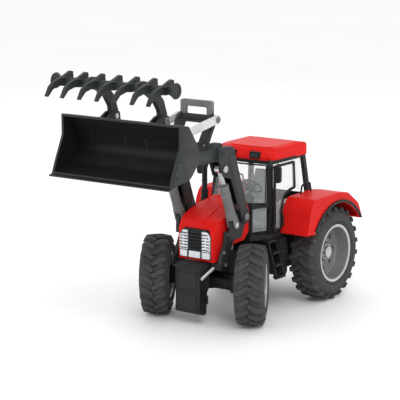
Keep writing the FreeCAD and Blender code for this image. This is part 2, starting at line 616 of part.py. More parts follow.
def cab_inside():
    floor = size("cabFloorHigh")
    tub = [block(8, 66, -36, 36, floor, floor + 4), block(8, 58, 22, 36, floor + 3, 122),
           block(8, 58, -36, -22, floor + 3, 122), block(34, 58, -12, 12, floor + 3, 110),
           prism("side", [(36, 109), (58, 109), (60, 116, 1), (34, 116, 1)], 20, 0)]
    deliver("interior_tub", joined(tub))
    seat = joined([prism("side", [(36, 116, 1), (66, 116, 2.4), (67, 122, 2.4), (50, 122.5, 4), (47, 151, 2.6),
                                  (40.5, 151, 2.6), (38, 122)], 26, 0),
                   prism("side", [(39.5, 149), (47.5, 149), (46.5, 159, 2.5), (41, 159, 2.5)], 15, 0),
                   block(40, 62, 14, 18, 127, 130.5), block(40, 62, -18, -14, 127, 130.5),
                   block(40, 45, -18, 18, 126, 131)])
    deliver("seat", seat)
    column_low, column_high = (86.0, 0.0, 118.0), (66.6, 0.0, 138.4)
    deliver("dashboard", joined([prism("side", [(90, 92), (100, 92), (101, 130), (97.5, 138, 3), (90, 138, 2),
                                      (86, 131, 2)], 34, 0),
                                rod((92, 0, 112), column_low, 4), rod(column_low, column_high, 2.4)]))
    axis = Vector(*column_high) - Vector(*column_low)
    wheel = new("Part::Torus", "WheelRing")
    bind(wheel, "Radius1", 12.0)
    bind(wheel, "Radius2", 1.6)
    hub = Vector(*column_high) + axis.normalize() * 3.2
    wheel.Placement = Placement(Vector(), turn_to(axis))
    place(wheel, hub.x, hub.y, hub.z)
    spokes = []
    flat = Vector(0, 1, 0)
    for turn in (0, 120, 240):
        way = Rotation(axis, turn + 90).multVec(flat)
        tip = hub + way * 11.6
        spokes.append(rod(tuple(hub), tuple(tip), 1.2))
    boss = rod(tuple(hub - axis * 2.8), tuple(hub + axis * 1.4), 3.4)
    deliver("steering_wheel", joined([wheel, boss] + spokes))
    levers = [joined([rod((54 + 5 * i, 27, 122), (57 + 5 * i, 27, 133), 1.1), rod((57 + 5 * i, 27, 132),
                                                                                  (57.8 + 5 * i, 27, 136), 1.9)])
              for i in (-1, 0)]
    deliver("gear_levers", group(levers))


def cab_outside():
    mirrors = []
    for side in (1, -1):
        arm = joined([rod((88.0, side * 38.6, 168), (93.5, side * 55, 176), 1.2),
                      rod((93.5, side * 55, 177.6), (93.5, side * 55, 166), 1.6)])
        head = prism("front", [(side * 51, 155, 3.5), (side * 59, 155, 3.5), (side * 59, 175, 3.5),
                               (side * 51, 175, 3.5)], 4.0, 93.5)
        mirrors.append(joined([arm, head]))
    deliver("mirrors", group(mirrors))
    pipe = joined([rod((106, -40, 90), (106, -40, 140), 4.2), rod((106, -40, 138), (106, -40, 168), 3.2),
                   bar((106, -40, 166), (100.5, -40, 175), 5.2, 5.2)])
    deliver("exhaust", joined([pipe, block(94, 108, -43, -37, 86.5, 91)]))
    rails = []
    for side in (1, -1):
        y = side * 48.5
        rails.append(joined([rod((33, y, 131), (30, y, 141), 1.1), rod((30, y, 141), (21, y, 145), 1.1),
                             rod((21, y, 145), (12, y, 142), 1.1), rod((12, y, 142), (9, y, 131), 1.1)]))
    deliver("grab_rails", group(rails))


FENDER = [(-57, 93, 2), (-48, 112, 14), (-22, 129, 14), (2, 132.5, 24), (56, 131.5, 10), (64, 119, 20), (70, 90, 1),
          (50, 90)]


def fenders():
    wall = size("fenderWall")
    inside, outside = size("fenderInside"), size("fenderOutside")
    middle, wide = (inside + outside) / 2, outside - inside

    def fender(side):
        arch = rod((0, side * (inside + wall), 57.5), (0, side * 90, 57.5), "Sizes.fenderArch")
        through = rod((0, side * 40, 57.5), (0, side * 90, 57.5), "Sizes.fenderArch - 3")
        below = block(-70, 80, min(side * 40, side * 90), max(side * 40, side * 90), 40, 89.9)
        clockwise = FENDER[::-1]
        skin = prism("side", FENDER, wide, side * middle)
        hollow = prism("side", inset(clockwise, wall), wide - 2 * wall, side * middle)
        return cut(skin, [arch, through, hollow, below])

    def trim(side):
        ring = rod((0, side * outside, 57.5), (0, side * (outside + 1.8), 57.5), "Sizes.fenderArch + 3.4")
        hole = rod((0, side * (outside - 1), 57.5), (0, side * (outside + 3), 57.5), "Sizes.fenderArch + 0.2")
        low = block(-80, 80, min(side * 70, side * 90), max(side * 70, side * 90), -20, 93)
        return cut(ring, [hole, low])

    deliver("fenders", group(both(fender)))
    deliver("fender_trims", group(both(trim)))


def steps_and_tanks():
    def ladder(side):
        top, bottom = 46.0, 58.0
        rails = [bar((x, side * top, 85.8), (x, side * bottom, 42), 2.6, 3.2) for x in (84.5, 100.5)]
        treads = [bar((84.5, side * (bottom - (z - 42) * 0.27), z), (100.5, side * (bottom - (z - 42) * 0.27), z),
                      2.4, 8) for z in (44, 58, 72)]
        low, high = sorted((side * 40, side * 47.6))
        return joined(rails + treads + [block(83.2, 101.8, low, high, 83.4, 86)])

    def tank(side):
        low, high = sorted((side * 18, side * 50))
        body = prism("side", [(64, 40, 5), (80, 40, 5), (81, 86, 1), (67, 86, 1), (62, 70, 4)], high - low,
                     (low + high) / 2)
        return body

    deliver("ladders", group(both(ladder)))
    deliver("side_tanks", group(both(tank)))


# ---------------------------------------------------------------- loader

def loader_consoles():
    track = size("boomTrack")

    def console(side):
        lower = prism("side", [(166, 72), (178, 72), (178, 76, 3), (168, 96, 10), (166, 110, 2), (146, 111, 3),
                               (150, 99, 8), (160, 84, 8)], 4.5, side * 31.25)
        upper = prism("side", [(146, 98), (165, 98), (165, 110, 4), (163.5, 121, 5), (156, 122, 4), (152, 130, 6),
                               (138, 130, 6), (137, 116, 6)], 6.5, side * 36.25)
        clear = prism("side", [(128, 107), (180, 107), (180, 140), (128, 140)], 6, side * 31.9)
        holes = [pin_hole(BOOM_PIVOT, side * track), pin_hole(LIFT_FOOT, side * track)]
        return cut(joined([lower, upper]), [clear] + holes)

    deliver("loader_consoles", group(both(console)))
    braces = [bar((171, side * 24.5, 69.5), (194.6, side * 16.8, 54.5), 3.2, 2.4) for side in (1, -1)]
    deliver("console_braces", group(braces))


def along_boom(distance, off):
    """A point beside the boom's line: distance up from the pivot, off towards the cab."""
    x0, z0 = BOOM_PIVOT
    dx, dz = ELBOW[0] - x0, ELBOW[1] - z0
    length = math.hypot(dx, dz)
    ux, uz = dx / length, dz / length
    return x0 + ux * distance - uz * off, z0 + uz * distance + ux * off


def boom():
    track, half, wall = size("boomTrack"), size("boomHalfWidth"), size("boomWall")
    channel = [along_boom(-8, -6), along_boom(20, -8), along_boom(56, -9), along_boom(66, -21),
               along_boom(79, -21), (199, 195), (199, 209), (186, 209), along_boom(88, 9), along_boom(20, 7),
               along_boom(-8, 7)]
    channel = [(x, z, 4) for x, z in channel]
    pocket = [along_boom(-14, -26), along_boom(60, -34), (216, 178), (208, 192.6), (188, 193.4, 3),
              along_boom(80, 5), along_boom(12, 5), along_boom(9, 12), along_boom(-14, 12)]
    forearm = [(186, 195, 3), (199, 194, 3), (BUCKET_PIVOT[0] - 4, 194.4, 3), (BUCKET_PIVOT[0] + 5.0, 195, 4.4),
               (BUCKET_PIVOT[0] + 5.0, 204.5, 4.4), (BUCKET_PIVOT[0] - 22, 204.5, 20), (206, 209, 3), (203, 214, 2.5),
               (190, 214, 5), (186, 209, 2)]

    def arm(side):
        lower = cut(prism("side", channel, 2 * half, side * track),
                    [prism("side", pocket, 2 * (half - wall), side * track)])
        upper = prism("side", forearm, "Sizes.foreArmWidth", side * track)
        holes = [pin_hole(BOOM_PIVOT, side * track), pin_hole(BUCKET_PIVOT, side * track)]
        return cut(joined([lower, upper]), holes)

    deliver("boom_arms", group(both(arm)))
    cx, cz = CRANK_PIVOT
    brackets = [prism("side", [(182, 190, 3), (189, 190, 3), (203, 206, 4), (200, 213, 4), (194, 213, 4), (180, 197, 3)],
                      3.6, side * 15.6) for side in (1, -1)]
    deliver("boom_cross_tube", joined([rod((184, -track + half, 194), (184, track - half, 194), 3.5)] + brackets))
    stubs = [rod((cx, side * 13.4, cz), (cx, side * 23.4, cz), "Sizes.pinRadius") for side in (1, -1)]
    caps = [rod((LIFT_HEAD[0], side * y0, LIFT_HEAD[1]), (LIFT_HEAD[0], side * y1, LIFT_HEAD[1]), 4)
            for side in (1, -1) for y0, y1 in ((track + half + 0.05, track + half + 1.6),)]
    deliver("boom_pins", group(stubs + caps))


def lift_cylinders():
    """Barrel and rod lie on the line from the console's pin to the boom's."""
    track = size("boomTrack")
    fx, fz = LIFT_FOOT
    hx, hz = LIFT_HEAD
    length = math.hypot(hx - fx, hz - fz)
    ux, uz = (hx - fx) / length, (hz - fz) / length

    def spot(distance, y):
        return fx + ux * distance, y, fz + uz * distance

    def barrel(side):
        y = side * track
        tube = cut(rod(spot(8, y), spot(52, y), "Sizes.barrelRadius"),
                   [rod(spot(14, y), spot(58, y), "Sizes.rodRadius + Sizes.runningGap")])
        collar = cut(rod(spot(48, y), spot(53, y), "Sizes.barrelRadius + 0.3"),
                     [rod(spot(40, y), spot(58, y), "Sizes.rodRadius + Sizes.runningGap")])
        ears = []
        for off in (-4.45, 4.55):
            ear = joined([rod((fx, y + off - 0.75, fz), (fx, y + off + 0.75, fz), 4.6),
                          bar(spot(0, y + off), spot(12, y + off), 8, 1.5)])
            ears.append(cut(ear, [pin_hole(LIFT_FOOT, y)]))
        return joined([tube, collar] + ears)

    def plunger(side):
        y = side * track
        shaft = rod(spot(31, y), spot(length - 3, y), "Sizes.rodRadius")
        end = cut(rod((hx, y - 3, hz), (hx, y + 3, hz), 5.2), [eye(LIFT_HEAD, 2.6, 12, y)])
        return joined([shaft, end])

    deliver("lift_barrels", group(both(barrel)))
    deliver("lift_rods", group(both(plunger)))


def tilt_linkage():
    track, thick = size("crankTrack"), size("crankThick")
    ax, az = CRANK_PIVOT
    bx, bz = CRANK_TOP
    plates = []
    for side in (1, -1):
        outline = [(ax - 7, az - 4, 4), (ax + 5, az - 5.5, 5), (ax + 6, az + 5, 5), (bx + 8, bz + 2, 4),
                   (bx + 2, bz + 7, 5), (bx - 6, bz + 3, 4), (bx - 5, bz - 6, 4)]
        plate = prism("side", outline, "Sizes.crankThick", side * track)
        plates.append(cut(plate, [pin_hole(CRANK_PIVOT, side * track)]))
    cross = rod((bx, -28.9, bz), (bx, 28.9, bz), "Sizes.pinRadius")
    sleeve = rod((bx, -track, bz), (bx, track, bz), 4.6)
    web = bar((bx + 5, -track, bz - 2), (bx + 5, track, bz - 2), 9, 3.5)
    deliver("bell_crank", joined(plates + [cross, sleeve, web]))

    handle = prism("front", [(-21.5, bz + 3.2, 1), (-14.5, bz + 3.2), (-14.5, bz + 13, 2), (14.5, bz + 13, 2),
                             (14.5, bz + 3.2), (21.5, bz + 3.2, 1), (21.5, bz + 20.5, 3), (-21.5, bz + 20.5, 3)],
                   5, bx)
    deliver("loop_handle", cut(handle, [rod((bx, -30, bz), (bx, 30, bz), 4.65)]))

    cx, cz = TILT_HEAD

    def link(side):
        y = side * size("tiltTrack")
        body = joined([bar((bx, y, bz), (cx, y, cz), 9, size("tiltThick")), eye(CRANK_TOP, 5.4, size("tiltThick"), y),
                       eye(TILT_HEAD, 4.8, size("tiltThick"), y)])
        holes = [eye(CRANK_TOP, "Sizes.pinRadius + Sizes.runningGap", 12, y), eye(TILT_HEAD, 2.4, 12, y)]
        return cut(body, holes)

    deliver("tilt_bars", group(both(link)))


BUCKET = [(338, 188, 0.6), (333, 201, 6), (320, 229, 12), (320, 252, 1), (306, 250, 6), (292, 231, 10),
          (284, 213, 14), (303, 193, 16)]


def bucket():
    side_wall = size("bucketSide")
    half = size("bucketHalfWidth")
    outer = prism("side", BUCKET, "2 * Sizes.bucketHalfWidth", 0)
    room = [(350, 190.2), (345, 249.4), (321, 249.4), (307.2, 247.4, 5), (294.8, 229.6, 9), (287, 213.2, 12),
            (304.2, 195.4, 14), (330, 191)]
    hollow = prism("side", room, 2 * (half - side_wall), 0)
    edge = prism("side", [(333.6, 187.2), (342.4, 186.2), (342.6, 187.6), (334, 189.8)], 2 * half, 0)
    track = size("boomTrack")
    ears = []
    low_ear = [(BUCKET_PIVOT[0] - 5.5, 193.8, 5), (297, 193.6), (296, 216), (290, 221), (TILT_HEAD[0] - 5.5, 227, 4),
               (TILT_HEAD[0] - 5.5, 216, 4), (BUCKET_PIVOT[0] - 6, 206, 4)]
    for side in (1, -1):
        for off in (-6, 6):
            ear = prism("side", low_ear if off < 0 else
                        [(BUCKET_PIVOT[0] - 5.5, 193.8, 5), (297, 193.6), (296, 214), (289, 212, 2),
                         (BUCKET_PIVOT[0] - 6, 206, 4)], 3, side * (track + off))
            ears.append(cut(ear, [eye(BUCKET_PIVOT, "Sizes.pinRadius", 6, side * (track + off))]))
        for off in (-4.3, 4.3):
            ears.append(cut(prism("side", [(290, 226), (302, 240), (307, 249, 2), (296, 255, 3), (284, 256.5, 5),
                                           (282.5, 245, 5)], 2.6, side * (size("grabTrack") + off)),
                            [eye(GRAB_PIVOT, "Sizes.pinRadius", 9, side * size("grabTrack"))]))
    deliver("bucket", joined([cut(joined([outer] + ears), [hollow]), edge]))
    pins = []
    for side in (1, -1):
        pins.append(eye(BUCKET_PIVOT, "Sizes.pinRadius", 15.6, side * track))
        pins.append(eye(GRAB_PIVOT, "Sizes.pinRadius", 11.8, side * size("grabTrack")))
    deliver("bucket_pins", group(pins))


def grab():
    bx, bz = GRAB_BEAM
    reach = size("grabHalfWidth")
    beam = rod((bx, -reach, bz), (bx, reach, bz), 4.5)
    flares = []
    for side in (1, -1):
        cone = new("Part::Cone", "Flare")
        bind(cone, "Radius1", 4.5)
        bind(cone, "Radius2", 8.5)
        bind(cone, "Height", 8)
        cone.Placement = Placement(Vector(), turn_to(Vector(0, side, 0)))
        flares.append(place(cone, bx, side * reach, bz))
    tine = [(316, 291, 2), (316.5, 298.5, 1), (320, 299.5, 1), (333, 294.5, 12), (347, 291, 10), (354.5, 286, 4),
            (360.5, 276.2, 0.6), (358.4, 275.2, 0.6), (350, 282.6, 5), (339, 285, 10), (330, 284, 4),
            (321, 284.4, 3)]
    places = [-67, -46, -23, 0, 23, 46, 67]
    hole = rod((bx, -90, bz), (bx, 90, bz), 4.5)
    deliver("grab_tines", group([cut(prism("side", tine, "Sizes.tineThick", y), [hole]) for y in places]))
    arm = [(283.5, 246, 4), (294.5, 245, 5), (296, 261, 8), (304, 272, 10), (318, 281, 12), (334, 283.5, 4),
           (334, 294, 5), (322, 296, 10), (304, 287, 14), (289, 272, 14), (283, 256, 6)]
    arms = []
    for side in (1, -1):
        y = side * size("grabTrack")
        arms.append(cut(prism("side", arm, 5.4, y), [pin_hole(GRAB_PIVOT, y)]))
    deliver("grab_frame", joined([beam] + flares + arms))


def pins_and_screws():
    """The steel pins that the chassis holds, and the screw heads on its sides."""
    track = size("boomTrack")
    wheel_base, axle_height = size("wheelBase"), size("frontRadius")
    fixed = [rod((wheel_base - 35, 0, axle_height), (wheel_base + 19.5, 0, axle_height), "Sizes.axleRadius")]
    for side in (1, -1):
        fixed.append(eye(BOOM_PIVOT, "Sizes.pinRadius", 18.4, side * track))
        fixed.append(eye(LIFT_FOOT, "Sizes.pinRadius", 11.0, side * (track - 0.1)))
        x, z = HOOD_HINGE
        fixed.append(rod((x, side * 18.3, z), (x, side * 25.0, z), HOOD_PIN))
        for x, z in ((170, 70), (163, 104)):
            fixed.append(rod((x, side * 33.5, z), (x, side * 34.9, z), 2.2))
        for x, z in ((10, 74), (24, 50)):
            fixed.append(rod((x, side * 30, z), (x, side * 31.6, z), 2.6))
    deliver("pivot_pins_and_screws", group(fixed))


chassis()
front_axle()
wheels()
hood()
cab()
doors()
cab_inside()
cab_outside()
fenders()
steps_and_tanks()
loader_consoles()
boom()
lift_cylinders()
tilt_linkage()
bucket()
grab()
pins_and_screws()
doc.recompute()

faults = [item.Name for item in doc.Objects if "Invalid" in item.State or "Error" in item.State]
for name, part in nodes.items():
    if part.Shape.isNull() or not part.Shape.isValid() or not part.Shape.Solids:
        faults.append(name)
if faults:
    raise SystemExit(f"these did not build: {faults}")

os.makedirs("parts", exist_ok=True)
for old in os.listdir("parts"):
    os.remove(os.path.join("parts", old))
for name, part in nodes.items():
    part.Shape.exportStep(f"parts/{name}.step")
    box = part.Shape.BoundBox
    print(f"{name:22s} solids {len(part.Shape.Solids):2d}  volume {part.Shape.Volume / 1000:8.2f} cm3  "
          f"X {box.XMin:7.1f} {box.XMax:7.1f}  Y {box.YMin:6.1f} {box.YMax:6.1f}  Z {box.ZMin:6.1f} {box.ZMax:6.1f}")
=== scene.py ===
"""Looks of the toy tractor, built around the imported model. Lengths are metres unless stated."""
import json
import math

import bmesh
import bpy
from mathutils import Matrix, Vector


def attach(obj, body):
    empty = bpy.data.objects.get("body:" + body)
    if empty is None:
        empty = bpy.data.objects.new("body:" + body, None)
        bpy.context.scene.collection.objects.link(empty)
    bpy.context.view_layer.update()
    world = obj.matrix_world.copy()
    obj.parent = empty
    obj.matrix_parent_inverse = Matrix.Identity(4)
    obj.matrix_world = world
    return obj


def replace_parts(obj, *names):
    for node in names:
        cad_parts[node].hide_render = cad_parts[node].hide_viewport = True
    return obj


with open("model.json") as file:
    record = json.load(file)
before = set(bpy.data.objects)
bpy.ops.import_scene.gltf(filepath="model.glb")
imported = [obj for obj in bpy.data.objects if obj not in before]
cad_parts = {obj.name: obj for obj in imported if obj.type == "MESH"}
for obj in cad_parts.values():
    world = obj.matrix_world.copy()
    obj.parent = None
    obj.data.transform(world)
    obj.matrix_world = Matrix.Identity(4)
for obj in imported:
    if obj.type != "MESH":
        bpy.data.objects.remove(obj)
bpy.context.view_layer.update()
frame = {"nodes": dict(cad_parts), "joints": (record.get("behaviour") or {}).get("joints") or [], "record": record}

MM = 0.001
JOINTS = {joint["name"]: joint for joint in frame["joints"]}
RECORD = frame["record"]
SLOT_OF = {part["node"]: part["material_slot"] for part in RECORD["subparts"]}
BODY_OF = {node: body for body, group in RECORD["behaviour"]["bodies"].items() for node in group}
REAR_AXLE = Vector(JOINTS["wheel_rear_left_spin"]["pos_m"])
X_AXIS, Y_AXIS, Z_AXIS = Vector((1, 0, 0)), Vector((0, 1, 0)), Vector((0, 0, 1))


def at(x, y, z):
    """A point in millimetres: forward from the rear axle, left, and up from the ground."""
    return Vector((REAR_AXLE.x + x * MM, y * MM, z * MM))


# ---------------------------------------------------------------- materials

def nodes_of(name):
    """A new material with its node tree and its Principled shader."""
    material = bpy.data.materials.new(name)
    material.use_nodes = True
    tree = material.node_tree
    shader = next(node for node in tree.nodes if node.type == "BSDF_PRINCIPLED")
    return material, tree, shader


def noise(tree, scale, detail=4.0):
    """Noise in the object's own coordinates, with scale in cells per metre."""
    where = tree.nodes.new("ShaderNodeTexCoord")
    texture = tree.nodes.new("ShaderNodeTexNoise")
    texture.inputs["Scale"].default_value = scale
    texture.inputs["Detail"].default_value = detail
    tree.links.new(where.outputs["Object"], texture.inputs["Vector"])
    return texture.outputs["Fac"]


def ramp(tree, factor, low, high, low_colour, high_colour):
    """A colour that goes from one to the other as the factor goes from low to high."""
    node = tree.nodes.new("ShaderNodeValToRGB")
    node.color_ramp.elements[0].position = low
    node.color_ramp.elements[1].position = high
    node.color_ramp.elements[0].color = (*low_colour, 1)
    node.color_ramp.elements[1].color = (*high_colour, 1)
    tree.links.new(factor, node.inputs["Fac"])
    return node.outputs["Color"]


def mix(tree, factor, first, second):
    """A blend of two colours."""
    node = tree.nodes.new("ShaderNodeMix")
    node.data_type = "RGBA"
    tree.links.new(factor, node.inputs["Factor"])
    tree.links.new(first, node.inputs["A"])
    tree.links.new(second, node.inputs["B"])
    return node.outputs["Result"]


def spread(tree, factor, low, high):
    """A factor of 0 to 1 spread over low to high."""
    node = tree.nodes.new("ShaderNodeMapRange")
    node.inputs["To Min"].default_value = low
    node.inputs["To Max"].default_value = high
    tree.links.new(factor, node.inputs["Value"])
    return node.outputs["Result"]


def scaled(colour, share):
    """A colour made lighter or darker."""
    return tuple(min(1.0, channel * share) for channel in colour)


def moulded(name, colour, roughness, grain=900.0, relief=0.05, edge_highlight=1.5, metallic=0.0, coat=0.0, vary=0.12,
            shine=0.2):
    """Moulded plastic: mottled colour, uneven gloss, fine skin texture and a painted highlight that lightens the
    sharp edges.
    """
    material, tree, shader = nodes_of(name)
    cloud = noise(tree, 55.0)
    base = ramp(tree, cloud, 0.3, 0.7, scaled(colour, 1 - vary), scaled(colour, 1 + vary))
    # Painted highlight: the colour is made lighter on sharp convex edges, where light catches them.
    highlight_colour = ramp(tree, cloud, 0.2, 0.8, scaled(colour, edge_highlight), scaled(colour, edge_highlight * 1.1))
    edges = tree.nodes.new("ShaderNodeNewGeometry")
    sharp = ramp(tree, edges.outputs["Pointiness"], 0.52, 0.62, (0, 0, 0), (1, 1, 1))
    highlight_share = spread(tree, sharp, 0.0, 0.55)
    tree.links.new(mix(tree, highlight_share, base, highlight_colour), shader.inputs["Base Color"])
    gloss = spread(tree, noise(tree, 140.0), roughness * 0.8, roughness * 1.2)
    tree.links.new(gloss, shader.inputs["Roughness"])
    bump = tree.nodes.new("ShaderNodeBump")
    bump.inputs["Strength"].default_value = relief
    bump.inputs["Distance"].default_value = 0.2 * MM
    tree.links.new(noise(tree, grain, 6.0), bump.inputs["Height"])
    tree.links.new(bump.outputs["Normal"], shader.inputs["Normal"])
    shader.inputs["Metallic"].default_value = metallic
    shader.inputs["Coat Weight"].default_value = coat
    shader.inputs["Coat Roughness"].default_value = 0.12
    shader.inputs["Specular IOR Level"].default_value = shine
    return material


def clear(name, tint, alpha, roughness):
    """Thin clear plastic with faint flow marks."""
    material, tree, shader = nodes_of(name)
    cloud = noise(tree, 40.0)
    tree.links.new(ramp(tree, cloud, 0.3, 0.7, scaled(tint, 0.95), tint), shader.inputs["Base Color"])
    tree.links.new(spread(tree, noise(tree, 120.0), roughness, roughness * 2), shader.inputs["Roughness"])
    shader.inputs["Alpha"].default_value = alpha
    shader.inputs["Specular IOR Level"].default_value = 0.9
    shader.inputs["Coat Weight"].default_value = 0.6
    return material


MATERIALS = {
    "body_red": moulded("red_plastic", (0.62, 0.012, 0.01), 0.38, relief=0.03, edge_highlight=1.15, vary=0.06,
                        shine=0.07),
    "black_plastic": moulded("black_satin", (0.011, 0.012, 0.013), 0.46, edge_highlight=3.0, relief=0.12),
    "dark_grey_plastic": moulded("dark_grey", (0.024, 0.027, 0.028), 0.46, edge_highlight=2.2, relief=0.12),
    "light_grey_plastic": moulded("light_grey", (0.36, 0.39, 0.4), 0.4, edge_highlight=1.2, relief=0.08, vary=0.05),
    "silver_plastic": moulded("silver", (0.25, 0.25, 0.26), 0.4, edge_highlight=1.35, relief=0.06, metallic=0.45),
    "lamp_plastic": moulded("lamp_silver", (0.66, 0.68, 0.7), 0.18, edge_highlight=1.1, relief=0.02, metallic=0.5,
                            coat=0.5),
    "tyre": moulded("tyre_rubber", (0.05, 0.05, 0.049), 0.76, grain=1500.0, relief=0.35, edge_highlight=2.3, vary=0.2),
    "steel": moulded("drawn_steel", (0.5, 0.5, 0.5), 0.28, grain=1800.0, relief=0.08, edge_highlight=1.2,
                     metallic=0.95),
    "clear_plastic": clear("clear_plastic", (0.86, 0.92, 0.93), 0.11, 0.04),
}
SPECIAL = {
    "interior_dark": moulded("interior_dark", (0.03, 0.032, 0.034), 0.5, edge_highlight=2.0, relief=0.2),
    "mid_grey": moulded("mid_grey_plastic", (0.15, 0.152, 0.155), 0.4, edge_highlight=1.5, relief=0.08),
    "pale_silver": moulded("pale_silver_plastic", (0.62, 0.62, 0.62), 0.3, edge_highlight=1.2, relief=0.05,
                           metallic=0.3),
    # Near black: the own colour of the roof light panels, and painted shade inside the bucket.
    "black_and_bucket_shade": moulded("black_and_bucket_shade", (0.01, 0.01, 0.011), 0.5, edge_highlight=2.5, relief=0.15),
    "bright_lip": moulded("bright_lip", (0.46, 0.46, 0.47), 0.32, edge_highlight=1.15, relief=0.04, metallic=0.5),
    "amber": moulded("amber_lens", (0.75, 0.2, 0.01), 0.2, edge_highlight=1.1, relief=0.05, coat=0.5),
    "tail_red": moulded("tail_lens", (0.5, 0.008, 0.01), 0.2, edge_highlight=1.1, relief=0.05, coat=0.5),
    "mirror_face": moulded("mirror_face", (0.75, 0.77, 0.8), 0.05, edge_highlight=1.0, relief=0.01, metallic=1.0),
}


# ---------------------------------------------------------------- mesh helpers

CREASE_DEGREES = 35.0
FLAT_DEGREES = 0.6
MERGE = 0.002 * MM


def finish_mesh(piece, body, material, bevel=0.0, crease=CREASE_DEGREES):
    """Smooth shading, softened edges, then body and material."""
    mesh = piece.data
    for face in mesh.polygons:
        face.use_smooth = True
    mesh.set_sharp_from_angle(angle=math.radians(crease))
    mesh.materials.clear()
    mesh.materials.append(material)
    if bevel:
        edge = piece.modifiers.new("soft_edges", "BEVEL")
        edge.width = bevel * MM
        edge.segments = 2
        edge.limit_method = "ANGLE"
        edge.angle_limit = math.radians(crease)
        edge.use_clamp_overlap = False
        edge.harden_normals = True
        graph = bpy.context.evaluated_depsgraph_get()
        piece.data = bpy.data.meshes.new_from_object(piece.evaluated_get(graph))
        piece.modifiers.clear()
    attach(piece, body)
    return piece


def new_piece(name, mesh):
    """An object for a mesh or a curve, linked to the scene."""
    piece = bpy.data.objects.new(name, mesh)
    bpy.context.scene.collection.objects.link(piece)
    return piece


def dress(node, bevel, material=None):
    """A softened copy of a CAD node, which stands for it."""
    mesh = frame["nodes"][node].data.copy()
    shell = bmesh.new()
    shell.from_mesh(mesh)
    bmesh.ops.remove_doubles(shell, verts=shell.verts, dist=MERGE)
    flat = math.radians(FLAT_DEGREES)
    bmesh.ops.dissolve_limit(shell, angle_limit=flat, verts=shell.verts, edges=shell.edges)
    bmesh.ops.triangulate(shell, faces=[face for face in shell.faces if len(face.verts) > 4])
    shell.to_mesh(mesh)
    shell.free()
    piece = new_piece(f"{node}_moulding", mesh)
    slot = SLOT_OF[node]
    finish_mesh(piece, BODY_OF[node], material or MATERIALS[slot], bevel)
    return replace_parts(piece, node)


def build(name, shell, body, slot, bevel=0.0, material=None, crease=CREASE_DEGREES):
    """Turns a finished bmesh into a piece, in its slot's material unless another is given."""
    bmesh.ops.remove_doubles(shell, verts=shell.verts, dist=0.001 * MM)
    bmesh.ops.recalc_face_normals(shell, faces=shell.faces)
    mesh = bpy.data.meshes.new(name)
    shell.to_mesh(mesh)
    shell.free()
    return finish_mesh(new_piece(name, mesh), body, material or MATERIALS[slot], bevel, crease)


def add_turned(shell, profile, centre, axis, steps=48):
    """Turns a closed loop of (radius, along) pairs in millimetres about an axis."""
    turn = Vector(axis).to_track_quat("Z", "Y").to_matrix()
    rings = []
    for step in range(steps):
        angle = math.tau * step / steps
        spin = Vector((math.cos(angle), math.sin(angle), 0))
        rings.append([shell.verts.new(centre + turn @ (spin * radius + Z_AXIS * along) * MM)
                      for radius, along in profile])
    for step, ring in enumerate(rings):
        following = rings[(step + 1) % steps]
        for first in range(len(profile)):
            second = (first + 1) % len(profile)
            if profile[first][0] or profile[second][0]:
                shell.faces.new((ring[first], ring[second], following[second], following[first]))


def add_block(shell, centre, size, turn=None):
    """A box of size (x, y, z) millimetres about a point."""
    matrix = Matrix.Translation(centre) @ (turn or Matrix.Identity(3)).to_4x4()
    stretch = Matrix.Diagonal((size[0] * MM, size[1] * MM, size[2] * MM, 1))
    bmesh.ops.create_cube(shell, size=1, matrix=matrix @ stretch)


def add_prism(shell, outline, origin, across, up, thick):
    """An outline of (across, up) pairs in millimetres from an origin, thickened evenly to both sides."""
    normal = across.cross(up)
    layers = [[shell.verts.new(origin + (across * u + up * v + normal * w) * MM) for u, v in outline]
              for w in (-thick / 2, thick / 2)]
    shell.faces.new(layers[0][::-1])
    shell.faces.new(layers[1])
    for first in range(len(outline)):
        second = (first + 1) % len(outline)
        shell.faces.new((layers[0][first], layers[0][second], layers[1][second], layers[1][first]))


def add_screw(shell, centre, axis, radius, height=1.0):
    """A domed screw head with a round recess."""
    add_turned(shell, [(0, -0.4), (radius, -0.4), (radius, 0.45 * height), (0.82 * radius, 0.85 * height),
                       (0.5 * radius, height), (0.42 * radius, 0.5 * height), (0, 0.5 * height)],
               centre, axis, 24)


def closed_tube(name, points, radius, body, slot):
    """A round tube along a closed route."""
    curve = bpy.data.curves.new(name, "CURVE")
    curve.dimensions = "3D"
    curve.bevel_depth = radius * MM
    curve.bevel_resolution = 3
    spline = curve.splines.new("POLY")
    spline.points.add(len(points) - 1)
    for knot, point in zip(spline.points, points):
        knot.co = (*point, 1)
    spline.use_cyclic_u = True
    holder = new_piece(name + "_path", curve)
    mesh = bpy.data.meshes.new_from_object(holder.evaluated_get(bpy.context.evaluated_depsgraph_get()))
    bpy.data.objects.remove(holder)
    return finish_mesh(new_piece(name, mesh), body, MATERIALS[slot])


PLAIN_BEVEL = 0.25
BEVELS = {"clear_plastic": 0.1, "tyre": 0.3, "silver_plastic": 0.25, "steel": 0.2}
NODE_BEVELS = {"cab_roof": 0.0, "roof_light_panels": 0.12}
OWN_LOOK = {
    "steering_wheel": "interior_dark", "dashboard": "interior_dark", "loop_handle": "mid_grey",
    "tilt_bars": "pale_silver", "lift_barrels": "mid_grey", "console_braces": "pale_silver",
    "roof_light_panels": "black_and_bucket_shade",
}
for node, slot in SLOT_OF.items():
    width = NODE_BEVELS.get(node, BEVELS.get(slot, PLAIN_BEVEL))
    dress(node, width, SPECIAL.get(OWN_LOOK.get(node)))


# ---------------------------------------------------------------- wheels

# Millimetres: half the tyre's width and the bead's radius.
REAR_WHEEL = {"half": 18.0, "bead": 34.0, "nuts": 8}
FRONT_WHEEL = {"half": 17.0, "bead": 26.0, "nuts": 6}


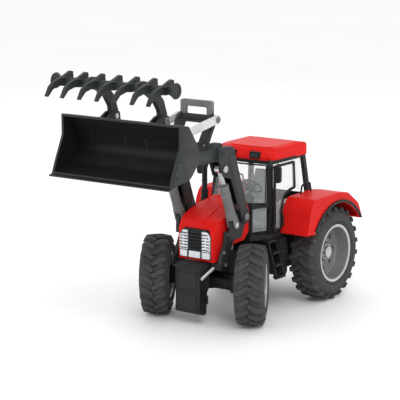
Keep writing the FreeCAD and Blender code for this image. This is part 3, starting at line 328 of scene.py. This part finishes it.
def wheel_details(name, side, wheel):
    """Sidewall ridges, a bright rim lip, wheel nuts and disc bolts."""
    joint = JOINTS[f"{name}_spin"]
    centre = Vector(joint["pos_m"])
    out = Vector(joint["axis"]).normalized() * side
    half, bead = wheel["half"], wheel["bead"]
    ridges = bmesh.new()
    for way in (1, -1):
        low, high = half - 0.8, half + 0.4
        for inner, outer in ((bead + 6.2, bead + 7.6), (bead + 3.4, bead + 4.1)):
            add_turned(ridges, [(inner, low * way), (inner + 0.3, high * way), (outer - 0.3, high * way),
                                (outer, low * way)], centre, out, 96)
    build(f"{name}_sidewall_ridges", ridges, name, "tyre")
    rim_inset = 2.2
    edge = half - rim_inset
    lips = bmesh.new()
    for way in (1, -1):
        add_turned(lips, [(bead - 2.5, way * (edge - 1.5)), (bead - 1.9, way * (edge + 0.5)),
                          (bead + 0.9, way * (edge + 1.0)), (bead + 1.5, way * (edge + 0.2)),
                          (bead, way * (edge - 1))], centre, out, 96)
    build(f"{name}_rim_lips", lips, name, "silver_plastic", material=SPECIAL["bright_lip"])
    turn = out.to_track_quat("Z", "Y").to_matrix()
    nuts = bmesh.new()
    hub_radius, disc_radius = 8.6, 14.2
    for index in range(wheel["nuts"]):
        angle = math.tau * (index + 0.5) / wheel["nuts"]
        spoke = turn @ Vector((math.cos(angle), math.sin(angle), 0))
        add_turned(nuts, [(0, -0.4), (1.15, -0.4), (1.15, 0.9), (0.8, 1.3), (0, 1.3)],
                   centre + (spoke * hub_radius + out * 4) * MM, out, 6)
        add_turned(nuts, [(0, -1), (1.5, -1), (1.5, 0.7), (1.1, 1.1), (0, 1.1)],
                   centre + (spoke * disc_radius - out * 0.5) * MM, out, 6)
    build(f"{name}_nuts", nuts, name, "silver_plastic", 0.12, material=SPECIAL["bright_lip"])


# ---------------------------------------------------------------- hood and nose

LAMP_FRONT, GRILLE_FRONT, HOOD_SIDE = 183.3, 182.0, 27.3


def nose_details():
    """Slats and lenses over the lamp panels, bars in the grille, ribs and dividers on the light strip."""
    slats, lenses, bars = bmesh.new(), bmesh.new(), bmesh.new()
    for side in (1, -1):
        for step in range(6):
            width = 10.2 - max(0, step - 3) * 1.1
            middle = at(LAMP_FRONT + 0.1, side * (10.2 + width / 2), 86.4 + 3.5 * step)
            add_block(slats, middle, (1.0, width, 1.1))
        for z in (91.6, 98.6):
            add_turned(lenses, [(0, -0.5), (2.6, -0.5), (2.6, 0.1), (2.0, 0.7), (1.0, 1.0), (0, 1.1)],
                       at(LAMP_FRONT, side * 15.4, z), X_AXIS, 32)
        add_block(slats, at(LAMP_FRONT + 0.1, side * 9.2, 80), (1.1, 1.8, 7.2))
    for index in range(-6, 7):
        add_block(bars, at(GRILLE_FRONT, index * 1.15, 96), (0.8, 0.35, 22))
    for index in range(-11, 12):
        add_block(lenses, at(LAMP_FRONT, index * 1.75, 80), (0.5, 0.5, 6))
    build("lamp_slats", slats, "hood_group", "black_plastic", 0.12)
    build("lamp_lenses", lenses, "hood_group", "lamp_plastic", 0.06)
    build("grille_bars", bars, "hood_group", "black_plastic", 0.06)


def hood_details():
    """A raised spine along the top and a louvred panel on each side."""
    spine = bmesh.new()
    add_prism(spine, [(118, 133), (118, 135.8), (150, 128.3), (164, 123.2), (172, 118.9), (171, 116.6),
                      (150, 125)], at(0, 0, 0), X_AXIS, Z_AXIS, 15)
    build("hood_spine", spine, "hood_group", "body_red", 0.7)
    slots, frames = bmesh.new(), bmesh.new()
    for side in (1, -1):
        for step in range(5):
            add_block(slots, at(131, side * (HOOD_SIDE + 0.15), 101 + 2.7 * step), (15 - step, 0.5, 1.4))
        add_block(frames, at(131, side * HOOD_SIDE, 106.4), (18, 0.6, 15.5))
    build("hood_louvres", slots, "hood_group", "black_plastic", 0.15, material=SPECIAL["interior_dark"])
    build("hood_louvre_panels", frames, "hood_group", "body_red", 0.3)


# ---------------------------------------------------------------- cab

def arc_between(x_end, x_middle, half, z, steps):
    """Points along a bowed edge from right to left."""
    return [at(x_end + (x_middle - x_end) * (1 - (share * 2 - 1) ** 2), half * (share * 2 - 1), z)
            for share in (step / steps for step in range(steps + 1))]


def windscreen_gasket():
    """A rubber strip round the bowed windscreen."""
    rim = arc_between(93.4, 109.9, 37.6, 128.6, 12) + arc_between(85.4, 89.2, 33.6, 172.4, 12)[::-1]
    closed_tube("windscreen_gasket", rim, 0.95, "chassis", "black_plastic")


def roof_details():
    """A raised panel on the roof and ribbed faces on its two front panels."""
    roof = bmesh.new()
    outline = [(12, -28), (16, -32), (66, -31), (74, -24), (74, 24), (66, 31), (16, 32), (12, 28)]
    add_prism(roof, outline, at(0, 0, 191.0), X_AXIS, Y_AXIS, 1.4)
    build("roof_panel", roof, "chassis", "body_red", 0.5)
    lamps, ribs = bmesh.new(), bmesh.new()
    for side in (1, -1):
        add_block(lamps, at(85.8, side * 17, 182.9), (0.8, 9.5, 4.6))
        for step in range(4):
            add_block(ribs, at(86.1, side * 17 + (step - 1.5) * 2.3, 182.9), (0.7, 0.5, 4.8))
    build("roof_lamp_faces", lamps, "chassis", "black_plastic", 0.2, material=SPECIAL["interior_dark"])
    build("roof_lamp_ribs", ribs, "chassis", "black_plastic", 0.1)


def mirror_faces():
    """Oval reflecting faces on the rear of the mirrors."""
    faces = bmesh.new()
    turns = [math.tau * step / 24 for step in range(24)]
    ellipse = [(3.1 * math.cos(angle), 8.4 * math.sin(angle)) for angle in turns]
    for side in (1, -1):
        add_prism(faces, ellipse, at(91.4, side * 55, 165), Y_AXIS, Z_AXIS, 0.5)
    build("mirror_faces", faces, "chassis", "black_plastic", 0.1, material=SPECIAL["mirror_face"])


def exhaust_guard():
    """Rings round the exhaust pipe and upright bars round its silencer."""
    pipe = bmesh.new()
    x, y = 106, -40
    for z, radius in ((96, 4.7), (104, 4.7), (131, 4.7), (137.5, 4.8), (150, 3.6)):
        add_turned(pipe, [(radius - 1.2, -0.8), (radius, -0.5), (radius, 0.5), (radius - 1.2, 0.8)],
                   at(x, y, z), Z_AXIS, 32)
    for index in range(10):
        angle = math.tau * index / 10
        spoke = Vector((math.cos(angle), math.sin(angle), 0))
        add_block(pipe, at(x, y, 117.5) + spoke * 4.2 * MM, (0.8, 0.8, 24))
    build("exhaust_guard", pipe, "chassis", "black_plastic", 0.15)


def door_hinges():
    """Barrels on each door's hinge axis, one of each pair on the door and one on the pillar."""
    barrel = [(0, -1.25), (0.9, -1.25), (1.1, -1.05), (1.1, 1.05), (0.9, 1.25), (0, 1.25)]
    for name in ("left", "right"):
        joint = JOINTS[f"door_{name}_open"]
        foot, line = Vector(joint["pos_m"]), Vector(joint["axis"]).normalized()
        if line.z < 0:
            line = -line
        for body, offset in ((f"{name}_door", 0.0), ("chassis", 2.6)):
            barrels = bmesh.new()
            for height in (6, 62):
                add_turned(barrels, barrel, foot + line * (height + offset) * MM, line, 24)
            build(f"{body}_{name}_hinge_barrels", barrels, body, "black_plastic")


# Shares of a pad's size.
CORNER_PULL, SEAM_DEPTH, CHANNEL_DEPTH = 0.09, 0.03, 0.07


def cushion(name, centre, size, lean=0.0, crown=0.16):
    """A crowned pad: sides that pull in at the corners, a seam round its edge and two sewn channels."""
    shell = bmesh.new()
    bmesh.ops.create_cube(shell, size=2)
    bmesh.ops.subdivide_edges(shell, edges=shell.edges, cuts=9, use_grid_fill=True)
    turn = Matrix.Rotation(math.radians(lean), 3, "Y")
    for vertex in shell.verts:
        u, v, w = vertex.co
        pull = 1 - CORNER_PULL * (u * u * v * v)
        swell = (1 - crown) + crown * (1 - u ** 4) * (1 - v ** 4)
        on_seam = abs(w) < 0.15 and max(abs(u), abs(v)) > 0.95
        seam = 1 - SEAM_DEPTH * on_seam
        on_channel = abs(abs(v) - 0.4) < 0.11 and abs(w) > 0.8
        channel = 1 - CHANNEL_DEPTH * on_channel
        flat = pull * seam
        spot = Vector((u * flat * size[0], v * flat * size[1], w * swell * channel * size[2])) / 2
        vertex.co = centre + turn @ spot * MM
    return build(name, shell, "chassis", "light_grey_plastic", crease=70)


def cab_interior():
    """Pads on the seat, dials, floor ribs, pedals and lever knobs."""
    cushion("seat_pad", at(53, 0, 122.2), (26, 25, 4.2))
    cushion("backrest_pad", at(48.2, 0, 137.5), (22, 23.5, 3.6), lean=84)
    cushion("headrest_pad", at(48.0, 0, 154), (7.6, 13, 2.6), lean=88)
    dials = bmesh.new()
    slope = Vector((-0.93, 0, 0.37)).normalized()
    for y, radius in ((-9, 3.0), (0, 3.6), (9, 3.0)):
        add_turned(dials, [(0, 0), (radius - 0.6, 0), (radius - 0.4, 0.6), (radius, 0.6), (radius, -0.6),
                           (0, -0.6)], at(87.9, y, 134.4), slope, 32)
    build("dashboard_dials", dials, "chassis", "light_grey_plastic")
    mat = bmesh.new()
    for step in range(7):
        add_block(mat, at(70 + 2.6 * step, 0, 92.3), (1.2, 44, 0.7))
    for y in (-9, 9):
        add_block(mat, at(86.5, y, 100), (1.4, 6, 8), Matrix.Rotation(math.radians(20), 3, "Y"))
    build("floor_ribs_and_pedals", mat, "chassis", "black_plastic", 0.2, material=SPECIAL["interior_dark"])
    knobs = bmesh.new()
    for step in (-1, 0):
        add_turned(knobs, [(0, -2.4), (1.4, -2.4), (2.1, 0), (1.8, 1.5), (0, 2.4)],
                   at(57.8 + 5 * step, 27, 136), Z_AXIS, 24)
    build("lever_knobs", knobs, "chassis", "black_plastic")


def rear_details():
    """Two-colour tail lamps on the fenders and a screwed cover on the gearbox."""
    lens_red, lens_amber, housing = bmesh.new(), bmesh.new(), bmesh.new()
    slope = Vector((9, 0, 19)).normalized()
    for side in (1, -1):
        spot = at(-53.4, side * 66, 101)
        away = slope.cross(Y_AXIS)
        for shell, left, right, half, out, thick in ((housing, -11, 11, 4.5, 0.2, 1.6),
                                                     (lens_red, -10, 0.6, 3.5, 1, 1.2),
                                                     (lens_amber, 1.4, 10, 3.5, 1, 1.2)):
            plate = [(left, -half), (right, -half), (right, half), (left, half)]
            add_prism(shell, plate, spot + away * out * MM, Y_AXIS, slope, thick)
    build("tail_lamp_housings", housing, "chassis", "black_plastic", 0.3)
    build("tail_lamp_red", lens_red, "chassis", "body_red", 0.3, material=SPECIAL["tail_red"])
    build("tail_lamp_amber", lens_amber, "chassis", "body_red", 0.3, material=SPECIAL["amber"])
    cover = bmesh.new()
    add_prism(cover, [(-24, 44), (24, 44), (27, 48), (27, 80), (22, 84), (-22, 84), (-27, 80), (-27, 48)],
              at(-27.2, 0, 0), Y_AXIS, Z_AXIS, 1.2)
    for y in (-23, 23):
        for z in (49, 64, 79):
            add_screw(cover, at(-27.6, y, z), -X_AXIS, 1.8)
    build("gearbox_cover", cover, "chassis", "black_plastic", 0.3)


def side_details():
    """Grips on the ladder treads, straps and a cap on the tanks, panels on the front support."""
    treads, tanks = bmesh.new(), bmesh.new()
    for side in (1, -1):
        for z in (44, 58, 72):
            y = 58 - (z - 42) * 0.27
            for step in range(6):
                add_block(treads, at(86.5 + 2.4 * step, side * y, z + 1.4), (0.7, 7, 0.6))
        for z in (48, 60, 76):
            add_block(tanks, at(72.5, side * 50.1, z), (14, 0.6, 1.4))
    add_turned(tanks, [(0, -0.5), (4.2, -0.5), (4.4, 0.9), (3.6, 1.5), (0, 1.5)],
               at(73, 50.2, 68), Y_AXIS, 24)
    build("tread_grips", treads, "chassis", "black_plastic", 0.1)
    build("tank_straps_and_cap", tanks, "chassis", "black_plastic", 0.2)
    front = bmesh.new()
    for z in (52, 27):
        add_block(front, at(197.2, 0, z), (0.9, 24, 18))
    for y in (-14.5, 14.5):
        for z in (20, 62):
            add_screw(front, at(197.0, y, z), X_AXIS, 1.5, 0.9)
    build("front_plate_panels", front, "chassis", "black_plastic", 0.35)


# ---------------------------------------------------------------- loader

# Pivots seen from the side, in millimetres: forward from the rear axle and up from the ground.
BOOM_FOOT, BOOM_ELBOW = Vector((145, 0, 123)), Vector((178, 0, 201))
LIFT_FOOT, LIFT_HEAD = Vector((159, 0, 115)), Vector((188, 0, 184))
LIFT_OUT = 37


def beside_boom(distance, off):
    """A point beside the boom's line: distance up from the pivot, off towards the cab."""
    along = (BOOM_ELBOW - BOOM_FOOT).normalized()
    return BOOM_FOOT.x + along.x * distance - along.z * off, BOOM_FOOT.z + along.z * distance + along.x * off


def loader_details():
    """Raised panels on the arms, caps on the pivots, screws on the consoles and bands on the barrels."""
    panels, caps, bucket_caps, crank_caps = bmesh.new(), bmesh.new(), bmesh.new(), bmesh.new()
    for side in (1, -1):
        lower = [beside_boom(12, 4), beside_boom(80, 5), beside_boom(80, -4), beside_boom(62, -5),
                 beside_boom(12, -5)]
        add_prism(panels, lower, at(0, side * 45.1, 0), X_AXIS, Z_AXIS, 0.8)
        add_prism(panels, [(210, 197), (272, 197), (272, 202.4), (210, 205.5)], at(0, side * 41.1, 0),
                  X_AXIS, Z_AXIS, 0.8)
        add_screw(panels, at(192, side * 45, 202), Y_AXIS * side, 3.2, 1.3)
        add_screw(caps, at(BOOM_FOOT.x, side * 46.2, BOOM_FOOT.z), Y_AXIS * side, 3.9, 1.4)
        for x, z in ((172, 84), (160, 98)):
            add_screw(caps, at(x, side * 33.5, z), Y_AXIS * side, 2.0, 1.0)
        for x, z, y in ((288, 200, 44.8), (289, 250, 38.9)):
            add_screw(bucket_caps, at(x, side * y, z), Y_AXIS * side, 3.9, 1.4)
        add_screw(crank_caps, at(178, side * 28.9, 237), Y_AXIS * side, 3.8, 1.3)
    build("boom_side_panels", panels, "loader", "dark_grey_plastic", 0.3)
    build("console_screws", caps, "chassis", "steel", material=SPECIAL["mid_grey"])
    build("bucket_pin_caps", bucket_caps, "bucket_group", "steel", material=SPECIAL["mid_grey"])
    build("crank_pin_caps", crank_caps, "crank", "steel", material=SPECIAL["mid_grey"])
    bands = bmesh.new()
    line = (LIFT_HEAD - LIFT_FOOT).normalized()
    for side in (1, -1):
        for distance in (13, 16.5, 40):
            spot = LIFT_FOOT + line * distance
            add_turned(bands, [(5.0, -0.7), (5.95, -0.4), (5.95, 0.4), (5.0, 0.7)],
                       at(spot.x, side * LIFT_OUT, spot.z), line, 40)
    build("cylinder_bands", bands, "cylinder_barrels", "light_grey_plastic", material=SPECIAL["mid_grey"])


BUCKET_INSIDE = 76.5


def bucket_details():
    """A near-black inside as painted shade, ribs on the back, and bolted guards on the sides."""
    piece = bpy.data.objects["bucket_moulding"]
    piece.data.materials.append(SPECIAL["black_and_bucket_shade"])
    # Painted shade: faces that look into the bucket get the near-black material in place of the dark grey.
    middle = at(318, 0, 218)
    for face in piece.data.polygons:
        centre = face.center
        if abs(centre.y) < BUCKET_INSIDE * MM:
            inwards = Vector((middle.x, centre.y, middle.z)) - centre
            inner = face.normal.dot(inwards) > 0 and abs(face.normal.y) < 0.6
        else:
            inner = centre.y * face.normal.y < 0 and abs(face.normal.y) > 0.9
        face.material_index = 1 if inner else 0
    guards, ribs = bmesh.new(), bmesh.new()
    for side in (1, -1):
        add_prism(guards, [(318, 196), (334.5, 191), (330.5, 203), (322, 219), (316, 219)],
                  at(0, side * 80.1, 0), X_AXIS, Z_AXIS, 0.9)
        for x, z in ((327, 197.5), (320, 214)):
            add_screw(guards, at(x, side * 80.4, z), Y_AXIS * side, 1.6, 0.9)
    for y in (-60, -14, 14, 60):
        add_prism(ribs, [(291, 206), (284.2, 213), (291.6, 231), (305.6, 250), (308, 249), (295, 230),
                         (288, 214)], at(0, y, 0), X_AXIS, Z_AXIS, 2.2)
    for name, shell in (("bucket_side_guards", guards), ("bucket_back_ribs", ribs)):
        build(name, shell, "bucket_group", "dark_grey_plastic", 0.25)


def grab_details():
    """Gussets where the tines meet the beam and rings on the beam's flared ends."""
    gussets, rings = bmesh.new(), bmesh.new()
    for y in (-67, -46, -23, 0, 23, 46, 67):
        for way in (1, -1):
            add_prism(gussets, [(0, 0), (5.2, 0), (0, 7.5)], at(328.5, y + way * 2.0, 293.2),
                      Y_AXIS * way, X_AXIS, 1.6)
    for side in (1, -1):
        add_turned(rings, [(5.2, -0.8), (5.6, 0.7), (8.2, 0.7), (8.6, -0.8)], at(328, side * 80, 289),
                   Y_AXIS * side, 48)
    build("grab_gussets", gussets, "grab", "dark_grey_plastic", 0.2)
    build("grab_end_rings", rings, "grab", "dark_grey_plastic", 0.15)


def engine_details():
    """Fins on the engine's sides and a grooved pulley on its front."""
    engine = bmesh.new()
    for side in (1, -1):
        for step in range(8):
            add_block(engine, at(124 + 4.6 * step, side * 15.3, 92), (1.4, 1.4, 11))
    add_turned(engine, [(2, 0), (9, 0), (9, 1.2), (7.6, 1.2), (7.6, 2.2), (9, 2.2), (9, 3.2), (2, 3.2)],
               at(166.2, 0, 96), X_AXIS, 40)
    build("engine_fins_and_pulley", engine, "chassis", "light_grey_plastic", 0.2, SPECIAL["mid_grey"])


for place, sizes in (("rear", REAR_WHEEL), ("front", FRONT_WHEEL)):
    wheel_details(f"wheel_{place}_left", 1, sizes)
    wheel_details(f"wheel_{place}_right", -1, sizes)
nose_details()
hood_details()
windscreen_gasket()
roof_details()
mirror_faces()
exhaust_guard()
door_hinges()
cab_interior()
rear_details()
side_details()
loader_details()
bucket_details()
grab_details()
engine_details()


# ---------------------------------------------------------------- floor, light and camera

def area_light(name, spot, aim, size, power):
    """A round soft light that faces a point."""
    lamp = bpy.data.lights.new(name, "AREA")
    lamp.shape = "DISK"
    lamp.size = size
    lamp.energy = power
    holder = bpy.data.objects.new(name, lamp)
    bpy.context.scene.collection.objects.link(holder)
    holder.location = spot
    holder.rotation_euler = (Vector(aim) - Vector(spot)).to_track_quat("-Z", "Y").to_euler()


def studio():
    """A white floor and surroundings, with three soft lights."""
    material, tree, shader = nodes_of("pale_floor")
    tree.links.new(ramp(tree, noise(tree, 3.0), 0.3, 0.7, (0.93, 0.93, 0.93), (0.96, 0.96, 0.96)),
                   shader.inputs["Base Color"])
    shader.inputs["Roughness"].default_value = 0.6
    floor_mesh = bpy.data.meshes.new("floor")
    half = 6.0
    corners = [(-half, -half, 0), (half, -half, 0), (half, half, 0), (-half, half, 0)]
    floor_mesh.from_pydata(corners, [], [(0, 1, 2, 3)])
    floor = new_piece("floor", floor_mesh)
    floor_mesh.materials.append(material)
    world = bpy.data.worlds.new("studio")
    world.use_nodes = True
    world.node_tree.nodes["Background"].inputs["Color"].default_value = (1, 1, 1, 1)
    world.node_tree.nodes["Background"].inputs["Strength"].default_value = 1.0
    bpy.context.scene.world = world
    middle = (0, 0, 0.12)
    area_light("key", (1.0, 1.1, 1.5), middle, 0.9, 11.5)
    area_light("fill", (1.6, -0.7, 0.7), middle, 1.2, 3)
    area_light("back", (-1.2, -0.3, 1.3), middle, 1.0, 2.5)


def camera():
    """Ahead of the tractor, to its left and above it, with the whole tractor in view."""
    data = bpy.data.cameras.new("camera")
    data.lens = 150.0
    data.sensor_width = 36.0
    holder = bpy.data.objects.new("camera", data)
    bpy.context.scene.collection.objects.link(holder)
    spot = Vector((1.551, 1.073, 0.510))
    aim = Vector((-0.005, -0.022, 0.134))
    holder.location = spot
    holder.rotation_euler = (aim - spot).to_track_quat("-Z", "Y").to_euler()
    bpy.context.scene.camera = holder


studio()
camera()
bpy.context.scene.view_settings.view_transform = "Standard"
